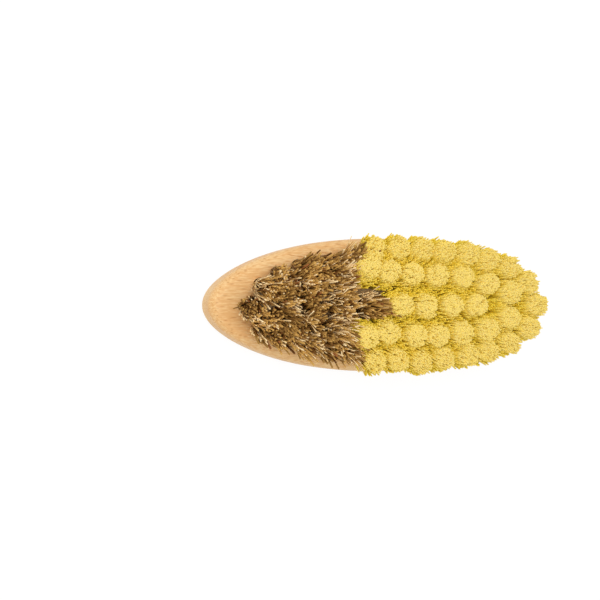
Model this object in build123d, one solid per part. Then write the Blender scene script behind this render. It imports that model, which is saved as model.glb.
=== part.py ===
"""A vegetable brush: a lens-shaped beech block with two kinds of plant-fibre tufts set in its face.

The brush lies on its back with the bristles up. X runs along the block, from the nose that holds
the stiff tufts (-X) to the tail that holds the soft ones (+X), Y runs across it, with the left
side at +Y, and Z points up, out of the bristle face. The origin is under the middle of the flat back.

Every tuft is a bunch of fibres folded double round a flat steel anchor and driven into a blind
hole. The anchor spans the hole and bites into the wood on both sides. The holes fan outwards, and
the tufts are trimmed to one level after they are set.
"""

import os
from math import atan2, cos, hypot, pi, sin, tan

from build123d import *

os.makedirs("parts", exist_ok=True)

# Beech block
block_length = 135.0
block_width = 51.0
block_thickness = 17.0
back_round = 6.5
face_round = 4.0
nose_taper_share = 0.09
outline_point_count = 32

# Blind holes for the tufts
hole_diameter = 5.5
hole_depth = 11.0
cut_overrun = 3.0

# Rows of holes: an outer ring with a tuft at each end, an inner ring, and a row down the middle
outer_end_margin = 16.5
outer_side_margin = 8.1
ring_gap_length = 8.0
ring_gap_width = 7.6
centre_row_margin = 14.5
ring_corner_share = 0.84
ring_step_count = 720
outer_side_count = 13
inner_side_count = 10
centre_count = 7

# How many tufts from the nose are of the stiff kind
stiff_outer_count = 5
stiff_inner_count = 3
stiff_centre_count = 3

# Trimmed bristles: how far the tips stand out from the roots, as a share of the roots' own offset
bristle_height = 21.0
length_spread_share = 0.13
width_spread_share = 0.22

# Folded root of a tuft, a plug that fills its hole
root_clearance = 0.05
root_recess = 0.3
fold_round = 1.2

# Strands that stand for a tuft's fibres: one in the middle and a ring round it
ring_strand_count = 7
strand_overlap = 1.0
strand_root_width = 0.9
strand_root_radius = 1.7
soft_tip_width = 1.3
soft_tip_radius = 3.3
soft_tip_dome = 0.9
stiff_tip_width = 1.0
stiff_tip_radius = 2.4
stiff_tip_dome = 0.3

# Flat steel anchor across the fold of a tuft
anchor_bite = 0.4
anchor_thickness = 0.4
anchor_height = 2.0
anchor_lift = 1.3
anchor_clearance = 0.05

# Worked out from the sizes above
root_radius = hole_diameter / 2 - root_clearance
anchor_length = hole_diameter + 2 * anchor_bite
outer_half_length = block_length / 2 - outer_end_margin
outer_half_width = block_width / 2 - outer_side_margin
inner_half_length = outer_half_length - ring_gap_length
inner_half_width = outer_half_width - ring_gap_width
centre_half_length = inner_half_length - centre_row_margin


def block_outline():
    """The block's edge: an ellipse that is drawn in a little towards both ends."""
    points = []
    for step in range(outline_point_count):
        turn = 2 * pi * (step / outline_point_count + 1 / 4)
        taper = 1 - nose_taper_share * abs(cos(turn)) ** 3
        points.append((block_length / 2 * cos(turn), block_width / 2 * sin(turn) * taper))
    return Spline(points, periodic=True)


def half_ring(half_length, half_width, shares):
    """Points (x, y) on the left half of an oval ring, at shares of its length from nose to tail."""
    line = []
    for step in range(ring_step_count + 1):
        turn = pi * (1 - step / ring_step_count)
        along = abs(cos(turn)) ** ring_corner_share * (1 if turn < pi / 2 else -1)
        line.append((half_length * along, half_width * sin(turn) ** ring_corner_share))
    reached = [0.0]
    for before, after in zip(line, line[1:]):
        reached.append(reached[-1] + hypot(after[0] - before[0], after[1] - before[1]))
    places = []
    for share in shares:
        wanted = share * reached[-1]
        after = next(i for i, length in enumerate(reached) if length >= wanted)
        part_way = (wanted - reached[after - 1]) / (reached[after] - reached[after - 1])
        start, end = line[after - 1], line[after]
        x, y = (low + (high - low) * part_way for low, high in zip(start, end))
        places.append((x, y))
    return places


def tuft_places():
    """Every tuft as (name, kind, x, y), where x and y are the middle of its hole's mouth."""
    places = [
        ("stiff_tuft_nose", "stiff", -outer_half_length, 0),
        ("soft_tuft_tail", "soft", outer_half_length, 0),
    ]
    outer_shares = [n / (outer_side_count + 1) for n in range(1, outer_side_count + 1)]
    inner_shares = [(n - 1 / 2) / inner_side_count for n in range(1, inner_side_count + 1)]
    rings = [
        ("outer", half_ring(outer_half_length, outer_half_width, outer_shares), stiff_outer_count),
        ("inner", half_ring(inner_half_length, inner_half_width, inner_shares), stiff_inner_count),
    ]
    for ring, points, stiff_count in rings:
        for number, (x, y) in enumerate(points, start=1):
            kind = "stiff" if number <= stiff_count else "soft"
            places.append((f"{kind}_tuft_{ring}_left_{number:02d}", kind, x, y))
            places.append((f"{kind}_tuft_{ring}_right_{number:02d}", kind, x, -y))
    for number in range(1, centre_count + 1):
        kind = "stiff" if number <= stiff_centre_count else "soft"
        share = 2 * (number - 1) / (centre_count - 1) - 1
        places.append((f"{kind}_tuft_centre_{number:02d}", kind, centre_half_length * share, 0))
    return places


def hole_plane(x, y):
    """The mouth of a tuft's hole, with the plane's Z along the hole's axis, out of the block."""
    axis = Vector(x * length_spread_share, y * width_spread_share, bristle_height)
    return Plane(origin=(x, y, block_thickness), x_dir=(1, 0, 0), z_dir=axis)


def axis_point(x, y, height):
    """The point of a tuft's axis at a height above the bristle face."""
    rise = height / bristle_height
    return Vector(
        x * (1 + length_spread_share * rise),
        y * (1 + width_spread_share * rise),
        block_thickness + height,
    )


def anchor_box(x, y, length, clearance):
    """A flat strip across the hole, clear of the hole's floor by the fold of the fibres."""
    strip = Box(
        length + 2 * clearance,
        anchor_thickness + 2 * clearance,
        anchor_height + 2 * clearance,
    )
    middle = anchor_lift + anchor_height / 2 - hole_depth
    return hole_plane(x, y).location * Pos(0, 0, middle) * strip


def tuft_hole(x, y):
    """The blind hole of one tuft."""
    drill = Cylinder(
        hole_diameter / 2,
        hole_depth + cut_overrun,
        align=(Align.CENTER, Align.CENTER, Align.MIN),
    )
    return hole_plane(x, y).location * Pos(0, 0, -hole_depth) * drill


def tuft_root(x, y, recess):
    """The folded root of a tuft, up to a recess below the hole's mouth, with the anchor's slot."""
    plug = Cylinder(
        root_radius,
        hole_depth - recess,
        align=(Align.CENTER, Align.CENTER, Align.MIN),
    )
    plug = fillet(plug.edges().group_by(Axis.Z)[0], fold_round)
    placed = hole_plane(x, y).location * Pos(0, 0, -hole_depth) * plug
    return placed - anchor_box(x, y, anchor_length, anchor_clearance)


def strand(x, y, turn, ring_share, sink, kind):
    """One strand: a square bar that widens from the root to its flat-trimmed tip."""
    tip_width = soft_tip_width if kind == "soft" else stiff_tip_width
    tip_radius = soft_tip_radius if kind == "soft" else stiff_tip_radius
    tip_dome = soft_tip_dome if kind == "soft" else stiff_tip_dome
    side = Vector(cos(turn), sin(turn), 0) * ring_share
    root = axis_point(x, y, -sink) + side * strand_root_radius
    tip = axis_point(x, y, bristle_height - tip_dome * ring_share) + side * tip_radius
    return loft(
        [
            Plane(origin=root) * Rectangle(strand_root_width, strand_root_width),
            Plane(origin=tip) * Rectangle(tip_width, tip_width),
        ],
        ruled=True,
    )


def tuft(x, y, kind):
    """A whole tuft: its folded root with the strands fused to it."""
    lean = atan2(hypot(x * length_spread_share, y * width_spread_share), bristle_height)
    recess = root_radius * tan(lean) + root_recess
    sink = recess + root_radius * sin(lean) + strand_overlap
    strands = [strand(x, y, 0, 0, sink, kind)]
    for number in range(ring_strand_count):
        turn = 2 * pi * number / ring_strand_count
        strands.append(strand(x, y, turn, 1, sink, kind))
    return tuft_root(x, y, recess) + strands


def block(places):
    """The beech block with its rounded edges, the tufts' holes and the anchors' bites."""
    board = extrude(make_face(block_outline()), amount=block_thickness)
    board = fillet(board.edges().group_by(Axis.Z)[0], back_round)
    board = fillet(board.edges().group_by(Axis.Z)[-1], face_round)
    cuts = []
    for _, _, x, y in places:
        cuts.append(tuft_hole(x, y) + anchor_box(x, y, anchor_length, anchor_clearance))
    return board - cuts


def write(name, shape):
    """Writes one node of the brush."""
    shape.label = name
    export_step(shape, f"parts/{name}.step")


tuft_list = tuft_places()
write("wooden_block", block(tuft_list))
write("tuft_anchors", Compound([anchor_box(x, y, anchor_length, 0) for _, _, x, y in tuft_list]))
for tuft_name, tuft_kind, tuft_x, tuft_y in tuft_list:
    write(tuft_name, tuft(tuft_x, tuft_y, tuft_kind))

strand_total = len(tuft_list) * (ring_strand_count + 1)
print("tufts", len(tuft_list), "strands", strand_total)
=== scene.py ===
"""A vegetable brush with a beech block, soft tufts at its tail and stiff tufts at its nose.

The frame holds the block with its drilled face, the tufts' steel anchors and a plain solid for
each tuft. This file gives the block its oiled beech, the anchors their steel, and each tuft its
fibres: they leave the hole packed tight and open out along its axis. The soft ones end in a
trimmed top with looser fibres round it, the stiff ones in a ragged top. All lengths are in
metres, in the frame's own axes.
"""

from math import pi, radians, sqrt

import bmesh
import bpy
import numpy as np
from bpy.props import FloatProperty, FloatVectorProperty, IntProperty, PointerProperty
from mathutils import Matrix, Vector


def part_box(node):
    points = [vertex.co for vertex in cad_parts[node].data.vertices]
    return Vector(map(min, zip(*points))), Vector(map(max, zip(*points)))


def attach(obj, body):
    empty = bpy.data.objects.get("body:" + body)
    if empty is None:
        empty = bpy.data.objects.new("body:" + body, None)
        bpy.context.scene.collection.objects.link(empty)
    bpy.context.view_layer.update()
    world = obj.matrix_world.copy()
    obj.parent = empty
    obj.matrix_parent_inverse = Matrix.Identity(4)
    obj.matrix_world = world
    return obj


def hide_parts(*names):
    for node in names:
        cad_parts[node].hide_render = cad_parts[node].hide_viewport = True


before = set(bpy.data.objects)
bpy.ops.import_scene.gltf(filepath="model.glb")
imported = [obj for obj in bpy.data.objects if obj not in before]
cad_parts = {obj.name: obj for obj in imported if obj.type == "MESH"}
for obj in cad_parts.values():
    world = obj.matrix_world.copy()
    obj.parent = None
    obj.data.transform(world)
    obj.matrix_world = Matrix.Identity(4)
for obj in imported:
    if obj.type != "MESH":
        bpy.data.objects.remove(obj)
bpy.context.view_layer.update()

bl_info = {
    "name": "Vegetable brush",
    "version": (1, 0, 0),
    "blender": (4, 5, 0),
    "location": "View3D > Sidebar > Brush",
    "description": "Gives a wooden brush its fibres, finishes and studio",
    "category": "Add Mesh",
}

MM = 0.001
BODY = "root"
BLOCK = "wooden_block"
ANCHORS = "tuft_anchors"
GOLDEN_ANGLE = pi * (3 - sqrt(5))
FIBRE_STEPS = 5
MAP_COLUMNS = 25

# Where a tuft's plain solid shows its root's rim and its top
RIM_DEPTH = 3 * MM
TIP_DEPTH = 0.1 * MM

# Half the length and half the width of the outer ring of holes
OUTER_RING = (51.0 * MM, 17.4 * MM)

# How late a tuft's top falls off to its rim, and how late the brush's edge makes ends ragged
DOME_CURVE = 2.5
EDGE_CURVE = 4

# How evenly fibres are set: turn round the axis, length, sideways stray, sweep and standing off
TURN_SPREAD = 0.15
SHORT_SPREAD = 0.7
STRAY_LIMITS = (-1.5, 1.5)
SWEEP_SHARES = (0.5, 1.5)
SKIRT_SHARES = (0.04, 1)

# Kinds of stiff fibre, dark, brown and beige: lowest tone, highest tone and thickness
STIFF_KINDS = ((0.0, 0.35, 1.15), (0.4, 0.8, 0.95), (0.85, 1.0, 0.75))

# How many of them are dark or beige, from the lightest to the darkest tuft or lock
TUFT_SHADES = (0.4, 1.5)
DARK_SHARES = (-0.2, 1.6)
BEIGE_SHARES = (-0.1, 1.1)

# By how much more of them are dark on a tuft's axis, and how much of that is lost at its rim
DARK_INSIDE = (1.35, 0.75)

# Where along its length a soft fibre takes its tip's colour, and how far its tone takes it back
TIP_FADE = (0.66, 1.0)
TONE_TINT = 0.4

# The floor's own white, and the white that it is seen as
FLOOR_WHITE = 0.9
FLOOR_SEEN = 1.05

# How far the tops of single tufts lean along X and Y, in millimetres
LEANS = {
    "soft_tuft_inner_left_04": (3.6, 2.4),
    "soft_tuft_inner_left_05": (1.5, 1.0),
    "soft_tuft_inner_right_04": (3.6, 0),
    "soft_tuft_inner_right_05": (1.2, 1.4),
    "soft_tuft_inner_right_06": (1.8, 0.4),
    "soft_tuft_centre_04": (1.9, 0),
    "soft_tuft_centre_05": (1.3, 0),
    "stiff_tuft_nose": (-3.2, -1.0),
    "stiff_tuft_outer_left_01": (2.8, -6.6),
    "stiff_tuft_outer_left_02": (-0.7, -7.5),
    "stiff_tuft_outer_left_03": (-0.2, -9.7),
    "stiff_tuft_outer_left_04": (-0.2, -10.2),
    "stiff_tuft_outer_left_05": (0.8, -5.8),
    "stiff_tuft_outer_right_01": (-0.4, 1.8),
    "stiff_tuft_outer_right_02": (-1.0, 5.5),
    "stiff_tuft_outer_right_03": (-0.2, 6.7),
    "stiff_tuft_outer_right_04": (-0.2, 7.0),
    "stiff_tuft_outer_right_05": (0.2, 6.6),
    "stiff_tuft_inner_left_01": (0.8, -0.9),
    "stiff_tuft_inner_left_02": (0.8, -3.4),
    "stiff_tuft_inner_left_03": (4.6, -4.3),
    "stiff_tuft_inner_right_01": (0.8, 0.9),
    "stiff_tuft_inner_right_02": (0.8, 3.4),
    "stiff_tuft_inner_right_03": (3.6, 3.2),
    "stiff_tuft_centre_01": (-2.4, 0),
    "stiff_tuft_centre_02": (-1.1, 0.6),
    "stiff_tuft_centre_03": (0.7, -0.8),
}


def length(name, description, default):
    """A length that a user may change."""
    return FloatProperty(
        name=name, description=description, default=default, unit="LENGTH", precision=5
    )


def share(name, description, default):
    """A share of something that a user may change."""
    return FloatProperty(name=name, description=description, default=default, subtype="FACTOR")


def colour(name, description, default):
    """A colour that a user may change."""
    return FloatVectorProperty(
        name=name, description=description, default=default, subtype="COLOR", min=0, max=1
    )


class SoftFibres(bpy.types.PropertyGroup):
    """The soft, light yellow fibres of the tail."""

    count: IntProperty(name="Fibres", description="Fibres in a tuft", default=820, min=1)
    width: length("Width", "Width of a fibre at its end", 0.52 * MM)
    width_range: share("Width range", "Share by which the widths differ", 0.25)
    root_width: share("Root width", "Width of a fibre in its hole, as a share of its end's", 0.7)
    root_radius: length("Root radius", "Radius of a tuft in its hole", 2.5 * MM)
    root_length: length("Root length", "Length of fibre that shows no more, in the hole", 3.0 * MM)
    top_radius: length("Top radius", "Radius of a tuft's top", 4.0 * MM)
    dome: length("Dome", "How far a tuft's rim lies below its top", 0.8 * MM)
    ragged: length("Ragged", "Unevenness of the trimmed ends", 0.2 * MM)
    edge_ragged: length("Edge ragged", "What the brush's edge adds to that unevenness", 1.3 * MM)
    wander: length("Wander", "How far a fibre strays sideways", 0.32 * MM)
    bow: length("Bow", "How far a fibre bows out between its ends", 0.2 * MM)
    lean: length("Lean", "How far a whole tuft strays sideways", 0.3 * MM)
    opening: FloatProperty(name="Opening", description="Over 1, a tuft opens late", default=0.6)
    curl: FloatProperty(name="Curl", description="Over 1, fibres stray late", default=1.2)
    sweep: length("Sweep", "How far the ends are swept to the tail", 0.2 * MM)
    fan: length("Fan", "How far ends at the block's side are swept outwards", 0.2 * MM)
    locks: IntProperty(name="Locks", description="Locks of fibres in a tuft", default=16, min=1)
    lock_pull: share("Lock pull", "How far a lock draws its fibres together", 0.12)
    lock_wander: length("Lock wander", "How far a lock strays sideways", 0.25 * MM)
    skirt_share: share("Skirt", "Share of the fibres that stand off their tuft", 0.54)
    skirt_reach: length("Skirt reach", "How far such a fibre may stand off", 4.8 * MM)
    skirt_drop: length("Skirt drop", "How far such a fibre may end below the rest", 8.0 * MM)


class StiffFibres(bpy.types.PropertyGroup):
    """The stiff brown fibres of the nose, dark and light ones mixed."""

    count: IntProperty(name="Fibres", description="Fibres in a tuft", default=210, min=1)
    width: length("Width", "Width of a fibre at its end", 0.64 * MM)
    width_range: share("Width range", "Share by which the widths differ", 0.4)
    root_width: share("Root width", "Width of a fibre in its hole, as a share of its end's", 0.85)
    root_radius: length("Root radius", "Radius of a tuft in its hole", 2.45 * MM)
    root_length: length("Root length", "Length of fibre that shows no more, in the hole", 3.0 * MM)
    top_radius: length("Top radius", "Radius of a tuft's top", 5.0 * MM)
    dome: length("Dome", "How far a tuft's rim lies below its top", 1.2 * MM)
    ragged: length("Ragged", "Unevenness of the trimmed ends", 5.0 * MM)
    edge_ragged: length("Edge ragged", "What the brush's edge adds to that unevenness", 0)
    wander: length("Wander", "How far a fibre strays sideways", 1.4 * MM)
    bow: length("Bow", "How far a fibre bows out between its ends", 0.5 * MM)
    lean: length("Lean", "How far a whole tuft strays sideways", 0.6 * MM)
    opening: FloatProperty(name="Opening", description="Over 1, a tuft opens late", default=0.6)
    curl: FloatProperty(name="Curl", description="Over 1, fibres stray late", default=4.2)
    sweep: length("Sweep", "How far the ends are swept to the tail", 3.4 * MM)
    fan: length("Fan", "How far ends at the block's side are swept outwards", 5.5 * MM)
    locks: IntProperty(name="Locks", description="Locks of fibres in a tuft", default=9, min=1)
    lock_pull: share("Lock pull", "How far a lock draws its fibres together", 0.34)
    lock_wander: length("Lock wander", "How far a lock strays sideways", 1.6 * MM)
    skirt_share: share("Skirt", "Share of the fibres that stand off their tuft", 0.5)
    skirt_reach: length("Skirt reach", "How far such a fibre may stand off", 3.5 * MM)
    skirt_drop: length("Skirt drop", "How far such a fibre may end below the rest", 6.0 * MM)


class Colours(bpy.types.PropertyGroup):
    """The colours of the wood, the fibres and the steel."""

    wood: colour("Wood", "Oiled beech", (0.86, 0.58, 0.275))
    wood_dark: colour("Wood streaks", "Darker streaks along the grain", (0.75, 0.415, 0.155))
    wood_fleck: colour("Wood flecks", "Short dark flecks of beech", (0.52, 0.21, 0.05))
    soft_root: colour("Soft roots", "Soft fibres near the block", (0.86, 0.655, 0.045))
    soft_tip: colour("Soft tips", "Soft fibres at their ends", (0.835, 0.64, 0.172))
    stiff_red: colour("Stiff red", "Reddish fibres of the stiff tufts", (0.34, 0.12, 0.035))
    stiff_dark: colour("Stiff dark", "Dark fibres of the stiff tufts", (0.105, 0.034, 0.004))
    stiff_middle: colour("Stiff middle", "Brown fibres of the stiff tufts", (0.60, 0.345, 0.09))
    stiff_light: colour("Stiff light", "Beige fibres of the stiff tufts", (0.97, 0.75, 0.42))
    steel: colour("Steel", "Anchors of the tufts", (0.56, 0.57, 0.59))


class Studio(bpy.types.PropertyGroup):
    """The camera, the light and the floor."""

    camera_height: length("Camera height", "Camera above the block's middle, in its view", 0.6699)
    camera_aside: length("Camera aside", "Camera beside the block's middle, to its right", -0.02796)
    camera_up: length("Camera up", "Camera up from the block's middle, in its view", 0.0019)
    camera_tilt: FloatProperty(
        name="Camera tilt", description="How far the camera leans to the nose",
        default=radians(18.65), subtype="ANGLE",
    )
    camera_lens: FloatProperty(
        name="Lens", description="Focal length in millimetres", default=103.7
    )
    sky: FloatProperty(name="Sky", description="Strength of the light all round", default=0.61)
    lamp: FloatProperty(
        name="Lamp", description="Power of the overhead lamp in watts", default=6.85
    )
    lamp_size: length("Lamp size", "Side of each lamp", 0.6)
    lamp_height: length("Lamp height", "Height of the overhead lamp", 1.1)
    lamp_left: length("Lamp left", "Overhead lamp beside the brush, on the block's left", 0.1)
    lamp_back: length("Lamp back", "Overhead lamp beyond the brush, on the nose's side", 0.3)
    side_lamp: FloatProperty(
        name="Side lamp", description="Power of the side lamp in watts", default=0.8
    )
    side_height: length("Side lamp height", "Height of the side lamp", 0.4)
    side_left: length("Side lamp left", "Side lamp beside the brush, on the block's left", 0.9)
    floor_size: length("Floor size", "Side of the floor", 6.0)
    floor_drop: length("Floor drop", "How far the floor lies under the block", 0.2 * MM)
    floor_glow: share("Floor glow", "Share of the floor's white that no shadow takes", 0.85)


class Value:
    """What leaves a node, wrapped so that shader maths reads as an expression."""

    def __init__(self, finish, socket):
        self.finish = finish
        self.socket = socket

    def maths(self, operation, first, second):
        return self.finish.add("ShaderNodeMath", {"operation": operation}, {0: first, 1: second})

    def __add__(self, other):
        return self.maths("ADD", self, other)

    def __radd__(self, other):
        return self.maths("ADD", other, self)

    def __sub__(self, other):
        return self.maths("SUBTRACT", self, other)

    def __rsub__(self, other):
        return self.maths("SUBTRACT", other, self)

    def __mul__(self, other):
        return self.maths("MULTIPLY", self, other)

    def __rmul__(self, other):
        return self.maths("MULTIPLY", other, self)


class Finish:
    """The nodes of a material or a world in the making."""

    def __init__(self, owner):
        owner.use_nodes = True
        self.owner = owner
        self.tree = owner.node_tree
        self.tree.nodes.clear()

    def add(self, kind, settings=None, sockets=None, output=0):
        """Adds a node with its settings and its sockets' values or links, and gives an output."""
        node = self.tree.nodes.new(kind)
        for name, setting in (settings or {}).items():
            if name == "stops":
                self.set_stops(node.color_ramp, setting)
            else:
                setattr(node, name, setting)
        for name, given in (sockets or {}).items():
            if isinstance(given, Value):
                self.tree.links.new(given.socket, node.inputs[name])
            else:
                node.inputs[name].default_value = given
        return Value(self, node.outputs[output]) if node.outputs else None

    def set_stops(self, ramp, stops):
        """Gives a colour ramp its stops, each a place and a colour."""
        while len(ramp.elements) < len(stops):
            ramp.elements.new(0.5)
        for element, (place, tint) in zip(ramp.elements, stops):
            element.position = place
            element.color = opaque(tint)

    def mix(self, amount, first, second):
        """A colour between two others."""
        kind = {"data_type": "RGBA"}
        return self.add("ShaderNodeMix", kind, {0: amount, 6: first, 7: second}, output=2)

    def fade(self, value, low, high):
        """A number that goes smoothly from 0 to 1 as a value goes from low to high."""
        kind = {"interpolation_type": "SMOOTHSTEP"}
        return self.add("ShaderNodeMapRange", kind, {0: value, 1: low, 2: high})

    def noise(self, along, across, detail=2.0):
        """A soft pattern that is drawn out along X, from the lengths of its steps each way."""
        sockets = {"Vector": self.grain(along, across), "Scale": 1.0, "Detail": detail}
        return self.add("ShaderNodeTexNoise", None, sockets)

    def flecks(self, along, across):
        """Flecks drawn out along X, from the lengths of their cells: 1 in a fleck, 0 elsewhere."""
        sockets = {"Vector": self.grain(along, across), "Scale": 1.0}
        return 1 - self.fade(self.add("ShaderNodeTexVoronoi", None, sockets), 0.1, 0.32)

    def grain(self, along, across):
        """Object coordinates in steps of a pattern that is drawn out along X."""
        place = self.add("ShaderNodeTexCoord", output=3)
        scale = (1 / along, 1 / across, 1 / across)
        return self.add("ShaderNodeMapping", None, {"Vector": place, "Scale": scale})

    def attribute(self, name):
        """A number that the mesh holds at each point."""
        return self.add("ShaderNodeAttribute", {"attribute_name": name}, output=2)

    def seen(self):
        """1 where the camera, a mirror or glass looks at this, and 0 for light that falls here."""
        rays = ("Is Camera Ray", "Is Glossy Ray", "Is Transmission Ray")
        looks = [self.add("ShaderNodeLightPath", output=ray) for ray in rays]
        return looks[0] + looks[1] + looks[2]

    def surface(self, base, roughness, **others):
        """Ends a material in one shader, and gives the material."""
        sockets = {"Base Color": base, "Roughness": roughness, **others}
        shader = self.add("ShaderNodeBsdfPrincipled", None, sockets)
        self.add("ShaderNodeOutputMaterial", None, {"Surface": shader})
        return self.owner


def opaque(tint):
    """A colour with full alpha."""
    return (*tint, 1.0)


def material(name):
    """The start of a material."""
    return Finish(bpy.data.materials.new(name))


def chosen(group):
    """What the user has chosen in one of the groups of settings."""
    return getattr(bpy.context.scene, f"vegetable_brush_{group}")


def beech():
    """Oiled beech: wide bands and fine dashes along the block, and short dark flecks."""
    colours = chosen("colours")
    finish = material("oiled_beech")
    bands = finish.noise(90 * MM, 9 * MM)
    streaks = finish.noise(26 * MM, 0.6 * MM)
    dashes = finish.noise(3.2 * MM, 0.5 * MM, 3.0)
    patches = finish.noise(14 * MM, 7 * MM, 1.0)
    flecks = finish.flecks(5.5 * MM, 0.85 * MM) * finish.fade(patches, 0.25, 0.6)
    figure = finish.fade(bands * 0.3 + streaks * 0.2 + dashes * 0.5, 0.4, 0.6)
    wood = finish.mix(figure, opaque(colours.wood), opaque(colours.wood_dark))
    flecked = finish.mix(flecks * 0.75, wood, opaque(colours.wood_fleck))
    height = {"Height": dashes * 0.5 - flecks * 0.5}
    pores = finish.add("ShaderNodeBump", None, {"Strength": 0.25, "Distance": 0.05 * MM, **height})
    sheen = {"Specular IOR Level": 0.3, "Normal": pores}
    return finish.surface(flecked, dashes * 0.14 + 0.42, **sheen)


def steel():
    """Plain cut steel strip."""
    finish = material("anchor_steel")
    rolled = finish.noise(2 * MM, 0.1 * MM)
    return finish.surface(opaque(chosen("colours").steel), rolled * 0.2 + 0.3, Metallic=1.0)


def soft_fibre():
    """Soft plant fibre: golden at the root and light yellow at its end, each in its own shade."""
    colours = chosen("colours")
    finish = material("soft_fibre")
    rise = finish.attribute("fibre_rise")
    tone = finish.attribute("fibre_tone")
    root, tip = opaque(colours.soft_root), opaque(colours.soft_tip)
    body = finish.mix(finish.fade(rise, *TIP_FADE), root, tip)
    shaded = finish.mix((1 - tone) * TONE_TINT, body, root)
    return finish.surface(shaded, 0.6)


def stiff_fibre():
    """Stiff plant fibre: dark, brown or beige by its tone, and a few reddish ones."""
    colours = chosen("colours")
    finish = material("stiff_fibre")
    tone = finish.attribute("fibre_tone")
    stops = [
        (0.0, colours.stiff_red),
        (0.02, colours.stiff_dark),
        (0.4, colours.stiff_middle),
        (0.75, colours.stiff_middle),
        (1.0, colours.stiff_light),
    ]
    body = finish.add("ShaderNodeValToRGB", {"stops": stops}, {"Fac": tone})
    return finish.surface(body, 0.6, **{"Specular IOR Level": 0.1})


def floor_white():
    """A pale floor that is seen as white and keeps part of the brush's shadow."""
    finish = material("floor_white")
    matt = finish.add("ShaderNodeBsdfDiffuse", None, {"Color": opaque([FLOOR_WHITE] * 3)})
    white = finish.add("ShaderNodeEmission", None, {"Strength": FLOOR_SEEN})
    amount = finish.seen() * chosen("studio").floor_glow
    both = finish.add("ShaderNodeMixShader", None, {0: amount, 1: matt, 2: white})
    finish.add("ShaderNodeOutputMaterial", None, {"Surface": both})
    return finish.owner


def middle_of(places):
    """The middle of the box round some places."""
    low = Vector([min(place[axis] for place in places) for axis in range(3)])
    high = Vector([max(place[axis] for place in places) for axis in range(3)])
    return (low + high) / 2


def tuft_axis(node):
    """Where a tuft's axis leaves its hole and where it ends, from its plain solid."""
    places = [vertex.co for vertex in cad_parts[node].data.vertices]
    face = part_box(BLOCK)[1].z
    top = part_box(node)[1].z
    mouth = middle_of([place for place in places if face - RIM_DEPTH < place.z < face])
    tip = middle_of([place for place in places if place.z > top - TIP_DEPTH])
    return mouth, tip


def unit_fibre():
    """A closed square bar of unit width and height, in steps, with its map on a unit cell.

    The sides take the middle of the cell, and the two ends take the strips below and above it.
    """
    shape = bmesh.new()
    uv = shape.loops.layers.uv.new("OFBake")
    place = Matrix.Translation((0, 0, 0.5))
    bmesh.ops.create_cone(
        shape, cap_ends=True, segments=4, radius1=0.5, radius2=0.5, depth=1, matrix=place
    )
    upright = [edge for edge in shape.edges if edge.verts[0].co.z != edge.verts[1].co.z]
    bmesh.ops.subdivide_edges(shape, edges=upright, cuts=FIBRE_STEPS - 1)
    for face in shape.faces:
        heights = [vert.co.z for vert in face.verts]
        face.smooth = max(heights) > min(heights)
        for loop in face.loops:
            x, y, z = loop.vert.co
            if face.smooth:
                loop[uv].uv = (0.02 + 1.9 * abs(x), 0.1 + 0.75 * z)
            else:
                loop[uv].uv = (0.5 + x, 0.04 + 0.08 * y + 0.9 * z)
    return made(shape, "fibre")


def unit_bundle(count):
    """As many unit fibres as a tuft has, all in one place."""
    fibre = unit_fibre()
    shape = bmesh.new()
    for _ in range(count):
        shape.from_mesh(fibre)
    bpy.data.meshes.remove(fibre)
    return made(shape, "fibres")


def made(shape, name):
    """The mesh of a finished shape."""
    mesh = bpy.data.meshes.new(name)
    shape.to_mesh(mesh)
    shape.free()
    return mesh


def read(data, field, sizes):
    """A field of a mesh's points or corners, as an array of the given sizes."""
    values = np.empty(np.prod(sizes), dtype=np.float32)
    data.foreach_get(field, values)
    return values.reshape(sizes)


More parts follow.
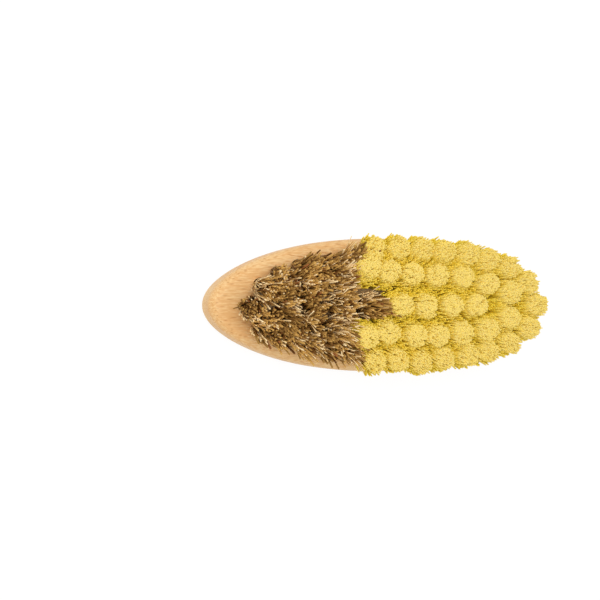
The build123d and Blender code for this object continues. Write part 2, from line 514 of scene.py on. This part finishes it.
class Tuft:
    """One tuft in the making: its axis, where each fibre stands in it, and its locks of fibres."""

    def __init__(self, habit, mouth, tip, chance):
        self.habit = habit
        self.mouth = mouth
        self.tip = tip
        self.chance = chance
        number = np.arange(habit.count)[:, None]
        turn = number * GOLDEN_ANGLE + chance.normal(0, TURN_SPREAD, (habit.count, 1))
        self.out = np.stack([np.cos(turn), np.sin(turn)], axis=2)
        self.from_axis = np.sqrt((number + 0.5) / habit.count)
        self.spot = self.out * self.from_axis[:, :, None]
        turn = chance.uniform(0, 2 * pi, habit.locks)
        from_axis = np.sqrt(chance.random(habit.locks))
        self.hearts = np.stack([np.cos(turn) * from_axis, np.sin(turn) * from_axis], axis=1)
        self.lock = np.linalg.norm(self.spot - self.hearts, axis=2).argmin(axis=1)

    def sideways(self, amount, count):
        """A sideways offset for each of a number of things, most of them within an amount."""
        return amount * self.chance.normal(0, 1, (count, 1, 2)).clip(*STRAY_LIMITS)

    def drift(self, skirt, thickness):
        """How far the end of each fibre lies beside its place in a straight, even tuft."""
        habit = self.habit
        drift = self.sideways(habit.wander, habit.count) / thickness[:, None, None]
        to_heart = self.hearts[self.lock][:, None, :] - self.spot
        drift = drift + to_heart * habit.top_radius * habit.lock_pull
        drift = drift + self.sideways(habit.lock_wander, habit.locks)[self.lock]
        drift = drift + self.out * (skirt * habit.skirt_reach)[:, :, None]
        swept = np.array([habit.sweep, habit.fan * self.mouth.y / OUTER_RING[1]])
        return drift + swept * self.chance.uniform(*SWEEP_SHARES, (habit.count, 1, 1))

    def ends(self, skirt):
        """The height of each fibre's end."""
        habit = self.habit
        edge = np.hypot(self.mouth.x / OUTER_RING[0], self.mouth.y / OUTER_RING[1]) ** EDGE_CURVE
        ragged = habit.ragged + habit.edge_ragged * edge
        short = ragged * np.abs(self.chance.normal(0, SHORT_SPREAD, (habit.count, 1)))
        dome = habit.dome * self.from_axis ** DOME_CURVE
        return self.tip.z - dome - short - skirt * habit.skirt_drop

    def places(self, unit, thickness):
        """Where the points of the fibres go, from their places in unit fibres."""
        habit, mouth, tip, chance = self.habit, self.mouth, self.tip, self.chance
        stands_off = chance.random((habit.count, 1)) < habit.skirt_share
        skirt = stands_off * chance.uniform(*SKIRT_SHARES, (habit.count, 1))
        low = mouth.z - habit.root_length
        z = low + (self.ends(skirt) - low) * unit[:, :, 2]
        along = ((z - mouth.z) / (tip.z - mouth.z))[:, :, None]
        opened = np.maximum(along, 0) ** habit.opening
        radius = habit.root_radius + (habit.top_radius - habit.root_radius) * opened
        drift = self.drift(skirt, thickness)
        bow = self.sideways(habit.bow, habit.count) * np.sin(pi * np.minimum(opened, 1))
        axis = np.array(mouth.xy) + np.array((tip - mouth).xy) * along
        line = axis + self.spot * radius + drift * opened ** habit.curl + bow

        spin = chance.uniform(0, pi, (habit.count, 1))
        spread = 1 + habit.width_range * chance.uniform(-1, 1, habit.count)
        taper = habit.root_width + (1 - habit.root_width) * unit[:, :, 2]
        wide = (habit.width * thickness * spread)[:, None] * taper
        x = line[:, :, 0] + (unit[:, :, 0] * np.cos(spin) - unit[:, :, 1] * np.sin(spin)) * wide
        y = line[:, :, 1] + (unit[:, :, 0] * np.sin(spin) + unit[:, :, 1] * np.cos(spin)) * wide
        return np.stack([x, y, z], axis=2)


def shape_tuft(mesh, tuft, tone_of):
    """Shapes a bundle of unit fibres into a tuft, and gives its points their tone and rise."""
    count = tuft.habit.count
    unit = read(mesh.vertices, "co", (count, len(mesh.vertices) // count, 3))
    tone, thickness = tone_of(tuft)
    places = tuft.places(unit, thickness)
    mesh.vertices.foreach_set("co", places.astype(np.float32).ravel())
    rise = (places[:, :, 2] - tuft.mouth.z) / (tuft.tip.z - tuft.mouth.z)
    fields = {"fibre_tone": np.repeat(tone, unit.shape[1]), "fibre_rise": rise}
    for name, values in fields.items():
        layer = mesh.attributes.new(name, "FLOAT", "POINT")
        layer.data.foreach_set("value", values.astype(np.float32).ravel())
    spread_map(mesh, count)
    mesh.update()


def spread_map(mesh, count):
    """Gives each fibre of a bundle its own cell of the map."""
    corners = mesh.uv_layers["OFBake"].uv
    cells = read(corners, "vector", (count, len(corners) // count, 2))
    column = np.arange(count) % MAP_COLUMNS
    row = np.arange(count) // MAP_COLUMNS
    cells[:, :, 0] = (cells[:, :, 0] + column[:, None]) / MAP_COLUMNS
    cells[:, :, 1] = (cells[:, :, 1] + row[:, None]) / (row[-1] + 1)
    corners.foreach_set("vector", cells.ravel())


def soft_tone(tuft):
    """Tone and thickness of soft fibres: they differ a little in shade."""
    count = tuft.habit.count
    return tuft.chance.random(count), np.ones(count)


def stiff_tone(tuft):
    """Tone and thickness of stiff fibres: thick dark ones, brown ones and thin beige ones.

    Some tufts and some locks hold more dark ones than others, and they keep to the middle of a
    tuft. A lock's share under 0 or over 1 leaves it with none or all of its kind.
    """
    chance, lock, locks = tuft.chance, tuft.lock, tuft.lock.max() + 1
    inward = DARK_INSIDE[0] - DARK_INSIDE[1] * tuft.from_axis[:, 0]
    shade = chance.spawn(1)[0].uniform(*TUFT_SHADES)
    dark = chance.uniform(*DARK_SHARES, locks)[lock] * inward * shade
    beige = chance.uniform(*BEIGE_SHARES, locks)[lock]
    light = np.where(chance.random(len(lock)) < beige, 2, 1)
    kind = np.where(chance.random(len(lock)) < dark, 0, light)
    low, high, thickness = np.array(STIFF_KINDS)[kind].T
    return chance.uniform(low, high), thickness


def set_tufts(kind, habit, finish, tone_of):
    """Puts the fibres of each tuft of a kind in place of its plain solid."""
    nodes = sorted(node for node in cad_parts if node.startswith(f"{kind}_tuft"))
    if not nodes:
        raise RuntimeError(f"the frame holds no {kind} tufts")
    bundle = unit_bundle(habit.count)
    bundle.materials.append(finish)
    for node in nodes:
        chance = np.random.default_rng([ord(letter) for letter in node])
        mouth, tip = tuft_axis(node)
        x, y = LEANS.get(node, (0, 0))
        lean = Vector((*chance.normal(0, habit.lean, 2), 0)) + Vector((x * MM, y * MM, 0))
        name = node.replace("_tuft_", "_fibres_")
        mesh = bundle.copy()
        mesh.name = name
        shape_tuft(mesh, Tuft(habit, mouth, tip + lean, chance), tone_of)
        piece = bpy.data.objects.new(name, mesh)
        bpy.context.scene.collection.objects.link(piece)
        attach(piece, BODY)
        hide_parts(node)
    bpy.data.meshes.remove(bundle)


def repaint(node, finish):
    """Gives a node of the frame a finish."""
    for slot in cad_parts[node].material_slots:
        slot.material = finish


def lay_floor(studio):
    """The floor under the brush."""
    shape = bmesh.new()
    place = Matrix.Translation((0, 0, -studio.floor_drop))
    bmesh.ops.create_grid(
        shape, x_segments=1, y_segments=1, size=studio.floor_size / 2, matrix=place
    )
    mesh = made(shape, "floor")
    mesh.materials.append(floor_white())
    floor = bpy.data.objects.new("floor", mesh)
    bpy.context.scene.collection.objects.link(floor)


def light_studio(scene, studio):
    """Even light all round, a large lamp overhead, and a weak one low on the block's left."""
    scene.world = bpy.data.worlds.new("studio")
    finish = Finish(scene.world)
    white = {"Color": opaque((1, 1, 1))}
    glow = finish.add("ShaderNodeBackground", None, {**white, "Strength": studio.sky})
    backdrop = finish.add("ShaderNodeBackground", None, {**white, "Strength": 1.0})
    both = finish.add("ShaderNodeMixShader", None, {0: finish.seen(), 1: glow, 2: backdrop})
    finish.add("ShaderNodeOutputWorld", None, {"Surface": both})
    overhead = Vector((-studio.lamp_back, studio.lamp_left, studio.lamp_height))
    hang_lamp(scene, "overhead_lamp", studio.lamp, studio.lamp_size, overhead)
    side = Vector((0, studio.side_left, studio.side_height))
    hang_lamp(scene, "side_lamp", studio.side_lamp, studio.lamp_size, side)


def hang_lamp(scene, name, power, size, place):
    """A square lamp that faces the brush."""
    data = bpy.data.lights.new(name, "AREA")
    data.energy = power
    data.size = size
    lamp = bpy.data.objects.new(name, data)
    lamp.location = place
    lamp.rotation_euler = (-place).to_track_quat("-Z", "Y").to_euler()
    scene.collection.objects.link(lamp)


def place_camera(scene, studio):
    """The camera over the nose, turned so that the brush's own X runs to the right."""
    low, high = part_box(BLOCK)
    middle = (low + high) / 2
    turn = Matrix.Rotation(-studio.camera_tilt, 4, "Y")
    aside = Vector((studio.camera_aside, studio.camera_up, studio.camera_height))
    data = bpy.data.cameras.new("camera")
    data.lens = studio.camera_lens
    camera = bpy.data.objects.new("camera", data)
    camera.matrix_world = Matrix.Translation(middle) @ turn @ Matrix.Translation(aside)
    scene.collection.objects.link(camera)
    scene.camera = camera


class VEGETABLE_BRUSH_OT_finish_block(bpy.types.Operator):
    """Give the wooden block its oiled beech"""

    bl_idname = "vegetable_brush.finish_block"
    bl_label = "Finish the block"

    def execute(self, context):
        repaint(BLOCK, beech())
        return {"FINISHED"}


class VEGETABLE_BRUSH_OT_finish_anchors(bpy.types.Operator):
    """Give the anchors inside the holes their steel"""

    bl_idname = "vegetable_brush.finish_anchors"
    bl_label = "Finish the anchors"

    def execute(self, context):
        repaint(ANCHORS, steel())
        return {"FINISHED"}


class VEGETABLE_BRUSH_OT_set_soft_tufts(bpy.types.Operator):
    """Set the soft tufts in the tail"""

    bl_idname = "vegetable_brush.set_soft_tufts"
    bl_label = "Set the soft tufts"

    def execute(self, context):
        set_tufts("soft", chosen("soft"), soft_fibre(), soft_tone)
        return {"FINISHED"}


class VEGETABLE_BRUSH_OT_set_stiff_tufts(bpy.types.Operator):
    """Set the stiff tufts in the nose"""

    bl_idname = "vegetable_brush.set_stiff_tufts"
    bl_label = "Set the stiff tufts"

    def execute(self, context):
        set_tufts("stiff", chosen("stiff"), stiff_fibre(), stiff_tone)
        return {"FINISHED"}


class VEGETABLE_BRUSH_OT_set_studio(bpy.types.Operator):
    """Set the floor, the light and the camera"""

    bl_idname = "vegetable_brush.set_studio"
    bl_label = "Set the studio"

    def execute(self, context):
        studio = chosen("studio")
        context.scene.view_settings.view_transform = "Standard"
        lay_floor(studio)
        light_studio(context.scene, studio)
        place_camera(context.scene, studio)
        return {"FINISHED"}


OPERATORS = (
    VEGETABLE_BRUSH_OT_finish_block,
    VEGETABLE_BRUSH_OT_finish_anchors,
    VEGETABLE_BRUSH_OT_set_soft_tufts,
    VEGETABLE_BRUSH_OT_set_stiff_tufts,
    VEGETABLE_BRUSH_OT_set_studio,
)


class VEGETABLE_BRUSH_PT_panel(bpy.types.Panel):
    """The brush's operators, in order"""

    bl_idname = "VEGETABLE_BRUSH_PT_panel"
    bl_label = "Vegetable brush"
    bl_space_type = "VIEW_3D"
    bl_region_type = "UI"
    bl_category = "Brush"

    def draw(self, context):
        for operator in OPERATORS:
            self.layout.operator(operator.bl_idname)


GROUPS = {"soft": SoftFibres, "stiff": StiffFibres, "colours": Colours, "studio": Studio}
CLASSES = (*GROUPS.values(), *OPERATORS, VEGETABLE_BRUSH_PT_panel)


def register():
    for kind in CLASSES:
        bpy.utils.register_class(kind)
    for group, kind in GROUPS.items():
        setattr(bpy.types.Scene, f"vegetable_brush_{group}", PointerProperty(type=kind))


def unregister():
    for group in GROUPS:
        delattr(bpy.types.Scene, f"vegetable_brush_{group}")
    for kind in reversed(CLASSES):
        bpy.utils.unregister_class(kind)


def main():
    """Builds the whole scene."""
    register()
    bpy.ops.vegetable_brush.finish_block()
    bpy.ops.vegetable_brush.finish_anchors()
    bpy.ops.vegetable_brush.set_soft_tufts()
    bpy.ops.vegetable_brush.set_stiff_tufts()
    bpy.ops.vegetable_brush.set_studio()


if __name__ == "__main__":
    main()
